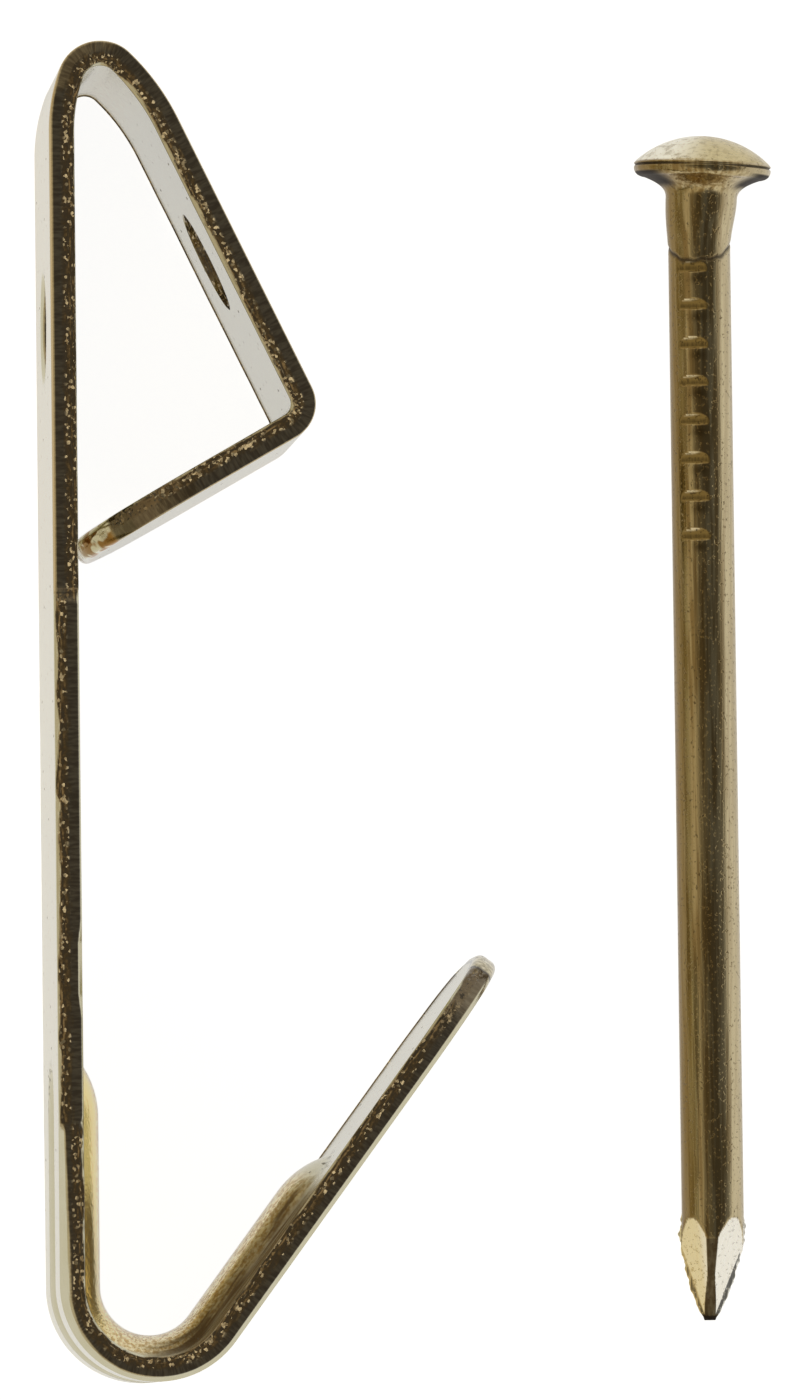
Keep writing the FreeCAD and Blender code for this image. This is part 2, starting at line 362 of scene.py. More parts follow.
def edge_rows(points, normals, seed, hole=None):
    """The rows of one loop as (row, point, xyz), and the shares that its plating tells apart."""
    count = len(points)
    is_outline = hole is None
    x = points[:, 0]
    flipped = flipped_share(x)
    width = np.interp(x, *zip(*rollovers)) if is_outline else np.full(count, hole_rollovers[hole])
    burr = np.interp(x, *zip(*burrs)) if is_outline else np.full(count, hole_burr)
    burr = burr * np.clip(1 + burr_spread * loop_noise(count, 1, burr_reach, seed + 1)[:, 0], *burr_range)
    end_facing = np.abs(normals[:, 0]) * is_outline
    at_end = smooth_step(*end_turn, end_facing)
    # The arm's end cap is painted pale and the leg's end gets white spots on gold: painted highlights
    cap, bead, shade = end_marks(x, end_facing)
    grit = loop_noise(count, len(row_depths), grit_reach, seed)
    upper = smooth_step(flipped_to, flipped_to + flip_run, x) * is_outline
    rows = []
    shares = []
    for number, depth in enumerate(row_depths):
        inset = 0
        edge = 0
        grain = 0
        for share, from_rollover in ((1 - flipped, depth), (flipped, sheet - depth)):
            in_burr = smooth_step(-edge_blend, edge_blend, from_rollover - sheet + burr)
            past_rollover = smooth_step(-edge_blend, edge_blend, from_rollover - width)
            in_break = smooth_step(break_from - break_blend, break_from + break_blend, from_rollover)
            inset = inset + share * edge_inset(from_rollover, width, burr)
            edge = edge + share * past_rollover * (1 - in_burr)
            grain = grain + share * in_break
        inset = inset + grit_height * edge * grain * grit[:, number]
        if is_outline:
            inset = inset + press_marks(x, depth)
        ends = sum(quarter_round(np.clip(1 - side / end_round, 0, 1)) for side in (depth, sheet - depth))
        inset = np.clip(np.maximum(inset, at_end * end_round * ends), 0, inset_limit)
        rows.append(np.column_stack([points - normals * inset[:, None], np.full(count, depth)]))
        rolled = upper * (1 - edge) * (depth < sheet / 2)
        torn = grain * (1 if is_outline else hole_grain)
        shares.append(np.stack([edge * (1 - cap) * (1 - bead), torn, rolled, cap, bead, shade]))

    # The burr of the lower edge stands proud of the inner face as a thin lip behind the last row, coloured as
    # the dark edge: a real burr that also paints the contact shadow along the far edge
    shadow_lip = smooth_step(*lip_turn, -normals[:, 1]) * is_outline * (1 - flipped)
    shadow_lip_shares = shares[-1].copy()
    shadow_lip_shares[share_names.index("edge")] = shadow_lip > shadow_lip_from
    shadow_lip_shares[share_names.index("rolled")] = 0
    last_inset = inset
    for step, height in lip_rise:
        set_back = np.clip(last_inset + step, 0, lip_limit)
        rows.append(np.column_stack([points - normals * set_back[:, None], sheet + height * lip_width * shadow_lip]))
        shares.append(shadow_lip_shares)
    return np.array(rows), np.array(shares)


print("rows through the edge:", len(row_depths) + len(lip_rise))

# %% [markdown]
# The flat blank as one closed mesh.
#
# Each face is a net of triangles inside the loops, with points close together where the strip will bend.
# A constrained net keeps the loops as its edges, so the faces and the sheared edges share points
# and the skin closes. A grid that is cut by booleans would leave slivers along the round ends.

# %% Net of the faces
net_step = 0.3
turn_step = math.radians(4.5)
margin = 0.14
merge_within = 1e-6
inside_outline = 1


def net_columns():
    """Places along the strip for the columns of the net."""
    columns = [0.0]
    for name, size, inner_radius in folds:
        start = starts[name]
        if inner_radius is None:
            end = start + size
            count = math.ceil(size / net_step)
        else:
            end = start + (inner_radius + sheet) * math.radians(size)
            count = max(math.ceil(math.radians(size) / turn_step), math.ceil((end - start) / net_step))
        columns += list(np.linspace(start, end, count + 1)[1:])
    return np.array(columns)


def inside_blank(x, y):
    """True where a point lies well inside the inset loops."""
    reach = face_inset + margin
    core_x = np.abs(x - blank_length / 2) - (blank_length / 2 - end_radius)
    core_y = np.abs(y) - (half_width - end_radius)
    outside = np.hypot(np.maximum(core_x, 0), np.maximum(core_y, 0))
    outside = outside + np.minimum(np.maximum(core_x, core_y), 0)
    keep = outside < end_radius - reach
    for hole in (guide_hole_at, back_hole_at):
        keep &= np.hypot(x - hole, y) > hole_radius + reach
    return keep


rows_across = np.linspace(-half_width, half_width, round(strip_width / net_step) + 1)
grid_x, grid_y = [axis.ravel() for axis in np.meshgrid(net_columns(), rows_across)]
kept = inside_blank(grid_x, grid_y)
net_points = []
net_edges = []
for points, normals in loops:
    first = len(net_points)
    count = len(points)
    net_points += [Vector(point) for point in points - normals * face_inset]
    net_edges += [(first + i, first + (i + 1) % count) for i in range(count)]
net_points += [Vector(point) for point in np.column_stack([grid_x[kept], grid_y[kept]])]
net = delaunay_2d_cdt(net_points, net_edges, [], inside_outline, merge_within)
flat_points = np.array([tuple(point) for point in net[0]])
net_faces = np.array([tuple(face) for face in net[2]])
face_middles = flat_points[net_faces].mean(1)
for hole in (guide_hole_at, back_hole_at):
    solid = np.hypot(face_middles[:, 0] - hole, face_middles[:, 1]) >= hole_radius + face_inset
    net_faces = net_faces[solid]
    face_middles = face_middles[solid]
net_faces = [tuple(face) for face in net_faces.tolist()]
print("triangles on each face:", len(net_faces))

# %% Join the faces and the edges


def band_faces(first, rows, count):
    """Quads between closed rows of points that follow each other, counted from the first point."""
    faces = []
    for row in range(rows - 1):
        low = first + row * count
        for i in range(count):
            after = (i + 1) % count
            faces.append((low + i, low + after, low + count + after, low + count + i))
    return faces


outer_depths = rib_face(flat_points[:, 0], flat_points[:, 1], groove_radius, 0.0)
inner_depths = rib_face(flat_points[:, 0], flat_points[:, 1], crest_radius, sheet)
blank_points = [np.column_stack([flat_points, outer_depths]), np.column_stack([flat_points, inner_depths])]
total = 2 * len(flat_points)
blank_shares = [np.zeros((total, len(share_names)))]
blank_faces = net_faces + [tuple(i + len(flat_points) for i in face) for face in net_faces]
for number, ((points, normals), hole) in enumerate(zip(loops, (None, "guide", "back"))):
    rows, shares = edge_rows(points, normals, 10 * number + 3, hole)
    count = len(points)
    inner_loop = points - normals * face_inset
    rims = [np.column_stack([inner_loop, np.full(count, depth)]) for depth in (0.0, sheet)]
    rows = np.concatenate([rims[0][None], rows, rims[1][None]])
    shares = np.pad(shares, ((1, 1), (0, 0), (0, 0)))
    blank_points.append(rows.reshape(-1, 3))
    blank_shares.append(shares.transpose(0, 2, 1).reshape(-1, len(share_names)))
    blank_faces += band_faces(total, len(rows), count)
    total += len(rows) * count
blank_points = np.concatenate(blank_points)
blank_shares = np.concatenate(blank_shares)
print("points before merging:", len(blank_points))

# %% [markdown]
# What the plating needs to know.
#
# Gold lies on the rib and a little at the crown, and on the rib it is deepened as a painted reflection of the
# brass inside the bend. A painted highlight runs along the rib's flank beside the back, and painted shade
# with streaks along its flank beside the arm. A painted image could hold these, but numbers on the points of
# the blank follow the metal through the fold, and so does the flat place of each point.

# %% Shares on the points
inner_skin = (sheet - 0.06, sheet - 0.01)
rib_rise = (0.0, 0.08)
rib_end_fade = (rib_from - 1.5, rib_from - 0.3)
crown_gold = 0.3
dark_across = (1.2, 1.9)
dark_rise = (rib_from - 1.8, rib_from + 0.6)
dark_fall = (starts["bottom_bend"] + 1, starts["bottom_bend"] + 5)
bright_across = (0.5, 1.3)
bright_rise = (starts["back"] - 4, starts["back"] - 1)

place_along, place_across, place_deep = blank_points.T
off_middle = np.abs(place_across)
at_crown = plateau((starts["crown"], starts["crown_run_out"]), (starts["crown_run_out"], starts["tongue"]),
                   place_along)
on_inside = smooth_step(*inner_skin, place_deep)
on_rib = smooth_step(*rib_rise, place_deep - sheet) * (off_middle < half_width - face_inset)
on_rib = on_rib * smooth_step(*rib_end_fade, place_along)
beside_arm = plateau(dark_rise, dark_fall, place_along)
beside_back = smooth_step(*bright_rise, place_along)
rib_and_light_shares = {
    "pressed": np.maximum(on_rib, crown_gold * on_inside * at_crown),
    # Painted shade with streaks along the rib's flank beside the arm
    "streaked_flank_shade": on_inside * smooth_step(*dark_across, off_middle) * beside_arm,
    # Painted highlight along the rib's flank beside the back
    "rib_flank_highlight": on_rib * smooth_step(*bright_across, off_middle) * beside_back,
}
print("points on the rib:", int((on_rib > 0.5).sum()))

# %% Make the blank
blank_merge = 2e-7
skin_merge = 1e-8


def keep_values(mesh, name, values):
    """Store one number for each point of a mesh, for its material to read."""
    layer = mesh.attributes.new(name, "FLOAT", "POINT")
    layer.data.foreach_set("value", np.ravel(values).astype(np.float32))


def close_skin(mesh, distance):
    """Merge the doubled points of a skin, turn its faces outwards and shade it smooth."""
    work = bmesh.new()
    work.from_mesh(mesh)
    bmesh.ops.remove_doubles(work, verts=work.verts, dist=distance)
    bmesh.ops.recalc_face_normals(work, faces=work.faces)
    open_edges = sum(1 for edge in work.edges if not edge.is_manifold)
    work.to_mesh(mesh)
    work.free()
    mesh.polygons.foreach_set("use_smooth", np.ones(len(mesh.polygons), bool))
    print(mesh.name, "points", len(mesh.vertices), "faces", len(mesh.polygons), "open edges", open_edges)


blank = bpy.data.meshes.new("blank")
blank.from_pydata((blank_points * MM).tolist(), [], blank_faces)
for column, name in enumerate(share_names):
    keep_values(blank, name, blank_shares[:, column])
for name, values in rib_and_light_shares.items():
    keep_values(blank, name, values)
flat_layer = blank.attributes.new("flat", "FLOAT_VECTOR", "POINT")
flat_layer.data.foreach_set("vector", blank_points.ravel().astype(np.float32))
close_skin(blank, blank_merge)

# %% [markdown]
# Helpers for nodes.
#
# Materials and Geometry Nodes are both trees. One function adds a node, sets its options, fills its inputs
# with values or links, and gives back one output, or all of them. A second one turns a table of real sizes
# into noise patterns, because most of what the eye sees on this metal is noise that is stretched one way.

# %% Add a node
COLOUR_A = 6
COLOUR_B = 7
COLOUR_OUT = 2


def add(tree, kind, inputs=None, out=0, **options):
    node = tree.nodes.new(kind)
    for name, value in options.items():
        setattr(node, name, value)
    for key, value in (inputs or {}).items():
        if isinstance(value, bpy.types.NodeSocket):
            tree.links.new(value, node.inputs[key])
        else:
            node.inputs[key].default_value = value
    return node.outputs if out is None else node.outputs[out]


def empty_tree(owner):
    """Turn on the nodes of a material or a world, and clear the ones that it starts with."""
    owner.use_nodes = True
    owner.node_tree.nodes.clear()
    return owner.node_tree


def hex_colour(code):
    """An sRGB hex value as the linear colour that shaders take."""
    channels = [int(code[i:i + 2], 16) / 255 for i in (1, 3, 5)]
    linear = [c / 12.92 if c <= 0.04045 else ((c + 0.055) / 1.055) ** 2.4 for c in channels]
    return (*linear, 1.0)


def sized_patterns(tree, place, unit, table):
    """For each row of name, real sizes, detail and limits: the noise, and the same cut to its limits."""
    noise = {}
    pattern = {}
    for name, sizes, detail, limits in table:
        scale = tuple(1 / (size * unit) for size in sizes)
        stretched = add(tree, "ShaderNodeMapping", {"Vector": place, "Scale": scale})
        noise[name] = add(tree, "ShaderNodeTexNoise", {"Vector": stretched, "Scale": 1.0, "Detail": detail})
        if limits:
            pattern[name] = add(tree, "ShaderNodeMapRange",
                                {"Value": noise[name], "From Min": limits[0], "From Max": limits[1]},
                                interpolation_type="SMOOTHSTEP")
    return noise, pattern


print("white, linear:", hex_colour("#ffffff"))

# %% [markdown]
# Lacquered brass plating on the sheared strip.
#
# Brass plating is thin, bright and slightly yellow, and clear lacquer lies over it. On the broad faces it
# follows the rolled sheet: a soft mottle with a few scuffs and pores. On the burnished half of the edge it
# shows the cross lines of the punch, and in the break it follows torn crystals, some of which flash: they are
# tilted and also painted pale as glints. The rib is pitted gold, deepened as a painted reflection, with a
# painted highlight on one flank and painted shade on the other, and both free ends carry painted highlights.
# All of these are one material, and the shares on the points choose.

# %% Patterns of the strip
strip_plating = bpy.data.materials.new("lacquered_brass_plated_sheared_steel")
strip = empty_tree(strip_plating)
flat = add(strip, "ShaderNodeAttribute", out="Vector", attribute_name="flat")
flat_parts = add(strip, "ShaderNodeSeparateXYZ", {0: flat}, None)
strip_share = {name: add(strip, "ShaderNodeAttribute", out="Fac", attribute_name=name)
               for name in (*share_names, *rib_and_light_shares)}

# Sizes in mm along, across and through the strip. The punch's cross lines are drawn coarser than real ones
strip_noise, strip_pattern = sized_patterns(strip, flat, 1.0, (
    ("scored", (2.5, 0.30, 0.30), 1.0, (0.40, 0.58)),
    ("punched", (0.10, 5.0, 0.5), 2.0, (0.34, 0.70)),
    ("rolled", (0.8, 0.8, 0.8), 3.0, None),
    ("pitted", (0.20, 0.20, 0.20), 2.0, (0.34, 0.66)),
    ("glint_spots", (0.6, 0.6, 0.6), 1.0, (0.44, 0.56)),
))
print("material:", strip_plating.name, "patterns:", list(strip_pattern))

# %% Streaks and painted shade on the rib's flank beside the arm
scored_least = 0.55
streaks = add(strip, "ShaderNodeMath", {0: strip_pattern["scored"], 1: 1 - scored_least, 2: scored_least},
              operation="MULTIPLY_ADD")
streaked_flank_shade = add(strip, "ShaderNodeMath", {0: strip_share["streaked_flank_shade"], 1: streaks}, operation="MULTIPLY")

# The rough sides of the score marks face up on the upper half of the strip, and down on the lower half
upper = add(strip, "ShaderNodeMath", {0: flat_parts["Y"]}, operation="SIGN")
scored = add(strip, "ShaderNodeMath", {0: streaked_flank_shade, 1: upper}, operation="MULTIPLY")
scored = add(strip, "ShaderNodeCombineXYZ", {"Z": scored})
print("streaks cover at least", scored_least, "of the flank")

# %% Torn crystals of the break
crystal_size = 0.11
crystal_lean = 0.35
flash_lean = 1.2
flash_limits = {"back": 0.86, "tongue": 0.70}
torn = add(strip, "ShaderNodeMath", {0: strip_share["edge"], 1: strip_share["break"]}, operation="MULTIPLY")
crystals = add(strip, "ShaderNodeTexVoronoi", {"Vector": flat, "Scale": 1 / crystal_size}, "Color")
chance = add(strip, "ShaderNodeSeparateXYZ", {0: crystals}, "X")
limit = add(strip, "ShaderNodeMapRange",
            {"Value": flat_parts["X"], "From Min": starts["crown"], "From Max": starts["tongue"],
             "To Min": flash_limits["back"], "To Max": flash_limits["tongue"]})
# Crystals past the limit flash: they are tilted below, and painted pale as glints in the colours
flash = add(strip, "ShaderNodeMath", {0: chance, 1: limit}, operation="GREATER_THAN")
reach = add(strip, "ShaderNodeMath", {0: flash, 1: flash_lean, 2: crystal_lean}, operation="MULTIPLY_ADD")
reach = add(strip, "ShaderNodeMath", {0: reach, 1: torn}, operation="MULTIPLY")
lean = add(strip, "ShaderNodeVectorMath", {0: crystals, 1: (0.5, 0.5, 0.5)}, operation="SUBTRACT")
lean = add(strip, "ShaderNodeVectorMath", {0: lean, "Scale": reach}, operation="SCALE")
grain_normal = add(strip, "ShaderNodeNewGeometry", out="Normal")
for turn in (lean, scored):
    grain_normal = add(strip, "ShaderNodeVectorMath", {0: grain_normal, 1: turn}, operation="ADD")
grain_normal = add(strip, "ShaderNodeVectorMath", {0: grain_normal}, operation="NORMALIZE")
print("crystals, mm:", crystal_size)

# %% Scuffs and pores of the faces
scuff_cell = (2.2, 9.0, 1.0)
pore_gap = 1.8
clean_rim = 0.8
marks = []
for cell, low, high in ((scuff_cell, 0.01, 0.035), ((pore_gap,) * 3, 0.015, 0.04)):
    spread = add(strip, "ShaderNodeMapping", {"Vector": flat, "Scale": tuple(1 / side for side in cell)})
    away = add(strip, "ShaderNodeTexVoronoi", {"Vector": spread, "Scale": 1.0}, "Distance",
               voronoi_dimensions="2D")
    marks.append(add(strip, "ShaderNodeMapRange",
                     {"Value": away, "From Min": low, "From Max": high, "To Min": 0.7, "To Max": 0.0},
                     interpolation_type="SMOOTHSTEP"))
scuffs = add(strip, "ShaderNodeMath", {0: marks[0], 1: marks[1]}, operation="MAXIMUM")
from_middle = add(strip, "ShaderNodeMath", {0: flat_parts["Y"]}, operation="ABSOLUTE")
on_face = add(strip, "ShaderNodeMath", {0: from_middle, 1: half_width - clean_rim}, operation="LESS_THAN")
on_face = add(strip, "ShaderNodeMath", {0: on_face, 1: strip_share["pressed"]}, operation="SUBTRACT")
scuffs = add(strip, "ShaderNodeMath", {0: scuffs, 1: on_face}, operation="MULTIPLY", use_clamp=True)
print("one pore in", round(pore_gap ** 2, 1), "square mm")

# %% Colours of the strip
cap = strip_share["cap"]
uncapped = add(strip, "ShaderNodeMath", {0: 1.0, 1: cap}, operation="SUBTRACT")
cap_line = add(strip, "ShaderNodeMath", {0: cap, 1: uncapped}, operation="MULTIPLY")
cap_line = add(strip, "ShaderNodeMath", {0: cap_line, 1: 4.0}, operation="MULTIPLY", use_clamp=True)

# Each row mixes two colours, or covers a tone that an earlier row made, by a pattern or a share
tones = {}
for name, over, low, high in (
        # Crystals that flash are painted pale as well: a painted glint
        ("torn", flash, "#9c8662", "#e6cb98"),
        ("burnished", strip_pattern["punched"], "#8e7f66", "#b8aa8c"),
        ("face", strip_noise["rolled"], "#cfc8a6", "#dad5bc"),
        # The rib's deep gold is partly painted reflection of the brass inside the bend
        ("gold", strip_pattern["pitted"], "#c8a45c", "#fff0c0"),
        # Painted highlight on the leg's end: white spots on gold
        ("bead", strip_pattern["glint_spots"], "#b0813a", "#fffae6"),
        # The cap on the arm's end is painted pale, as its highlight
        ("cap", strip_pattern["pitted"], "#a89c7a", "#e0d6b6"),
        # Painted highlight along the rib's flank beside the back
        ("gold", strip_share["rib_flank_highlight"], "gold", "#ffeaa0"),
        ("burnished", torn, "burnished", "torn"),
        ("burnished", strip_share["shade"], "burnished", "#54472f"),
        ("strip", strip_share["pressed"], "face", "gold"),
        # Painted shade, with streaks, on the rib's flank beside the arm
        ("strip", streaked_flank_shade, "strip", "#84693c"),
        ("strip", scuffs, "strip", "#8c8676"),
        ("strip", strip_share["rolled"], "strip", "#cbb486"),
        ("strip", strip_share["edge"], "strip", "burnished"),
        ("strip", cap, "strip", "cap"),
        ("strip", strip_share["bead"], "strip", "bead"),
        ("strip", cap_line, "strip", "#3a3020")):
    ends = [tones[end] if end in tones else hex_colour(end) for end in (low, high)]
    tones[name] = add(strip, "ShaderNodeMix", {0: over, COLOUR_A: ends[0], COLOUR_B: ends[1]},
                      COLOUR_OUT, data_type="RGBA")
print("tones:", list(tones))

# %% Shine and relief of the strip
# Brass is a metal with a coat of lacquer, but scuffs have lost both, and so has the streaked flank beside the
# arm, where shade is painted
bare = add(strip, "ShaderNodeMath", {0: 1.0, 1: strip_share["edge"]}, operation="SUBTRACT")
dull = add(strip, "ShaderNodeMath", {0: scuffs, 1: bare}, operation="MULTIPLY")
dull_flank = add(strip, "ShaderNodeMath", {0: streaked_flank_shade, 1: 0.95}, operation="MULTIPLY")
dull = add(strip, "ShaderNodeMath", {0: dull, 1: dull_flank}, operation="MAXIMUM")
metal = add(strip, "ShaderNodeMapRange", {"Value": dull, "To Min": 1.0, "To Max": 0.1})
lacquer = add(strip, "ShaderNodeMapRange", {"Value": dull, "To Min": 0.5, "To Max": 0.0})
rough = add(strip, "ShaderNodeMapRange", {"Value": torn, "To Min": 0.18, "To Max": 0.24})
rough = add(strip, "ShaderNodeMix", {0: dull, 2: rough, 3: 0.7})

relief_height = 0.05
relief = 0.0
for noise, over, amount in (
        ("punched", strip_share["edge"], 0.15), ("pitted", torn, 0.3),
        ("pitted", strip_share["pressed"], 0.9), ("pitted", strip_share["rib_flank_highlight"], -0.6)):
    part = add(strip, "ShaderNodeMath", {0: strip_noise[noise], 1: over}, operation="MULTIPLY")
    relief = add(strip, "ShaderNodeMath", {0: part, 1: amount, 2: relief}, operation="MULTIPLY_ADD")
strip_bump = add(strip, "ShaderNodeBump",
                 {"Height": relief, "Strength": 1.0, "Distance": relief_height * MM, "Normal": grain_normal})
strip_surface = add(strip, "ShaderNodeBsdfPrincipled",
                    {"Base Color": tones["strip"], "Metallic": metal, "Roughness": rough,
                     "Normal": strip_bump, "Coat Weight": lacquer, "Coat Roughness": 0.15, "Coat IOR": 1.5})
add(strip, "ShaderNodeOutputMaterial", {"Surface": strip_surface}, None)
print("nodes in the strip's plating:", len(strip.nodes))

# %% [markdown]
# Fold the blank.
#
# A fold moves each point of the blank to the fold line: as far along it as the point lies along the strip,
# and as deep inside it as the point lies in the sheet. Sample Curve gives the place and the tangent for a
# length, so one Set Position folds all the bends at once. An armature or bend modifiers would need one
# control for each bend.

# %% The fold tree


def fold_tree():
    tree = bpy.data.node_groups.new("fold_along_line", "GeometryNodeTree")
    for name, kind in (("Blank", "Geometry"), ("Fold line", "Object"), ("Half width", "Float"),
                       ("Plating", "Material")):
        tree.interface.new_socket(name, in_out="INPUT", socket_type="NodeSocket" + kind)
    tree.interface.new_socket("Folded", in_out="OUTPUT", socket_type="NodeSocketGeometry")
    given = add(tree, "NodeGroupInput", out=None)
    line = add(tree, "GeometryNodeObjectInfo", {"Object": given["Fold line"]}, "Geometry",
               transform_space="ORIGINAL")
    place = add(tree, "ShaderNodeSeparateXYZ", {0: add(tree, "GeometryNodeInputPosition")}, None)
    sample = add(tree, "GeometryNodeSampleCurve", {"Curves": line, "Length": place["X"]}, None,
                 mode="LENGTH", use_all_curves=True)
    inside = add(tree, "ShaderNodeVectorMath", {0: sample["Tangent"], 1: (0.0, 0.0, 1.0)},
                 operation="CROSS_PRODUCT")
    inside = add(tree, "ShaderNodeVectorMath", {0: inside}, operation="NORMALIZE")
    sunk = add(tree, "ShaderNodeVectorMath", {0: inside, "Scale": place["Z"]}, operation="SCALE")
    height = add(tree, "ShaderNodeMath", {0: place["Y"], 1: given["Half width"]}, operation="ADD")
    raised = add(tree, "ShaderNodeCombineXYZ", {"Z": height})
    folded = sample["Position"]
    for step in (sunk, raised):
        folded = add(tree, "ShaderNodeVectorMath", {0: folded, 1: step}, operation="ADD")
    moved = add(tree, "GeometryNodeSetPosition", {"Geometry": given["Blank"], "Position": folded})
    real = add(tree, "GeometryNodeRealizeInstances", {0: moved})
    finished = add(tree, "GeometryNodeSetMaterial", {"Geometry": real, "Material": given["Plating"]})
    add(tree, "NodeGroupOutput", {0: finished}, None)
    return tree


def apply_tree(mesh, tree, settings, name):
    """Run a mesh through a tree with these inputs, and return the result as a plain object."""
    carrier = bpy.data.objects.new(name + "_carrier", mesh)
    bpy.context.scene.collection.objects.link(carrier)
    modifier = carrier.modifiers.new("tree", "NODES")
    modifier.node_group = tree
    for item in tree.interface.items_tree:
        if item.in_out == "INPUT" and item.name in settings:
            modifier[item.identifier] = settings[item.name]
    ready = carrier.evaluated_get(bpy.context.evaluated_depsgraph_get())
    result = bpy.data.meshes.new_from_object(ready)
    bpy.data.objects.remove(carrier)
    result.name = name
    piece = bpy.data.objects.new(name, result)
    bpy.context.scene.collection.objects.link(piece)
    return piece


fold_settings = {"Fold line": fold_line, "Half width": half_width * MM, "Plating": strip_plating}
hook = apply_tree(blank, fold_tree(), fold_settings, "hook_strip")
bpy.data.objects.remove(fold_line)
close_skin(hook.data, skin_merge)
corners = np.array([vertex.co for vertex in hook.data.vertices])
print("folded hook, mm:", np.round((corners.max(0) - corners.min(0)) / MM, 3),
      "off the solid's corner by", np.round((corners.min(0) - np.array(hook_low)) / MM, 3))

# %% [markdown]
# The nail's skin.
#
# The nail is drawn wire: its head is struck in a die, its point is pinched by four facets, and both leave
# small flaws, such as a line under the collar and thin fins beside the point. All of it is a radius that
# depends on the place along the axis and the angle round it, so the skin is rings of points on one formula.

# %% Sizes of the nail
nail_length = 45.75
shank_radius = 1.2
head_radius = 2.65
dome_height = 1.1
rim_thickness = 0.53
rim_round = 0.04
rim_squash = 0.6
rim_low_round = 0.34
cone_height = 0.82
cone_flare = 2.6
collar_radius = 1.38
collar_length = 2.1
head_skew = math.radians(2.9)
rim_top = nail_length - dome_height
rim_foot = rim_top - rim_thickness
collar_top = rim_foot - cone_height
collar_foot = collar_top - collar_length

point_slope = math.tan(math.radians(14.5))
tip_radius = 0.15
point_turn = math.radians(5.0)
point_shift = 0.165
ridge_flat = 0.175
fin_radius = 1.385
fin_tip_radius = 0.26
fin_half_thickness = 0.08
fin_from_tip = 2.6
facet_length = (shank_radius - tip_radius) / point_slope
print("facets of the point, mm:", round(facet_length, 2))

# %% Rings from the tip to the dome
ring_points = 144
fin_fan = np.radians([-6.0, -4.2, -3.2, -2.4, -1.6, -0.8, 0.8, 1.6, 2.4, 3.2, 4.2, 6.0])
ring_angles = np.concatenate([np.linspace(0, 2 * math.pi, ring_points, endpoint=False),
                              fin_fan % (2 * math.pi), math.pi + fin_fan])
ring_angles = np.sort(ring_angles) + point_turn
point_step = 0.07
shank_step = 0.5
fine_step = 0.05
point_end = facet_length + 0.4
marks_start = collar_foot - 12.5
collar_start = collar_foot - 0.8
cone_rings = 22
round_rings = 8
rim_rings = 10
dome_rings = 40


def ring_places():
    """Place along the axis and plain radius of each ring."""
    runs = ((0.0, point_end, point_step), (point_end, marks_start, shank_step),
            (marks_start, collar_start, fine_step), (collar_start, collar_top, fine_step))
    axial = np.concatenate([np.arange(*run) for run in runs])
    radius = shank_radius + (collar_radius - shank_radius) * smooth_step(collar_foot, collar_top, axial)
    turns = np.linspace(0, math.pi / 2, round_rings)[1:]
    shares = np.linspace(0, 1, cone_rings)[1:]
    cone_axial = collar_top + cone_height * shares
    cone_radius = collar_radius + (head_radius - rim_low_round - collar_radius) * shares ** cone_flare
    low_axial = rim_foot + rim_low_round * (1 - np.cos(turns))
    low_radius = head_radius - rim_low_round * (1 - np.sin(turns))
    rim_axial = np.linspace(rim_foot + rim_low_round, rim_top - rim_round, rim_rings)[1:-1]
    rim_radius = np.full_like(rim_axial, head_radius)
    high_axial = rim_top - rim_round * (1 - np.sin(turns))
    high_radius = head_radius - rim_round * (1 - np.cos(turns)) * rim_squash
    dome_ball = (head_radius ** 2 + dome_height ** 2) / (2 * dome_height)
    dome_edge = math.asin((head_radius - rim_round * rim_squash) / dome_ball)
    slopes = np.linspace(dome_edge, 0.0, dome_rings)[1:-1]
    dome_axial = nail_length - dome_ball * (1 - np.cos(slopes))
    dome_radius = dome_ball * np.sin(slopes)
    return (np.concatenate([axial, cone_axial, low_axial, rim_axial, high_axial, dome_axial]),
            np.concatenate([radius, cone_radius, low_radius, rim_radius, high_radius, dome_radius]))


ring_axial, ring_radius = ring_places()
print("rings:", len(ring_axial), "points in a ring:", len(ring_angles))

# %% Point and struck lines
least = 1e-6
ridge_uneven = 0.2
ridge_wave = (2.2, 0.5)
long_rag = (0.025, 9.0)
short_rag = (0.015, 23.0)
fin_tip_swell = 0.5
view_side = math.radians(100)
collar_line_rise = 0.31
collar_line_swing = 0.62
collar_line_depth = 0.06
collar_line_width = 0.08
collar_line_waves = ((0.04, 5), (0.025, 13))
dome_line_depth = 0.06
dome_line_wave = (0.03, 3)
dome_line_drop = 0.10
dome_line_width = 0.04


def ridge_height(axial):
    """Height of the narrow flat between two facets, which is a little uneven."""
    uneven = 1 + ridge_uneven * np.sin(ridge_wave[0] * axial + ridge_wave[1])
    return (tip_radius + axial * point_slope) * math.sqrt(2) - ridge_flat * uneven


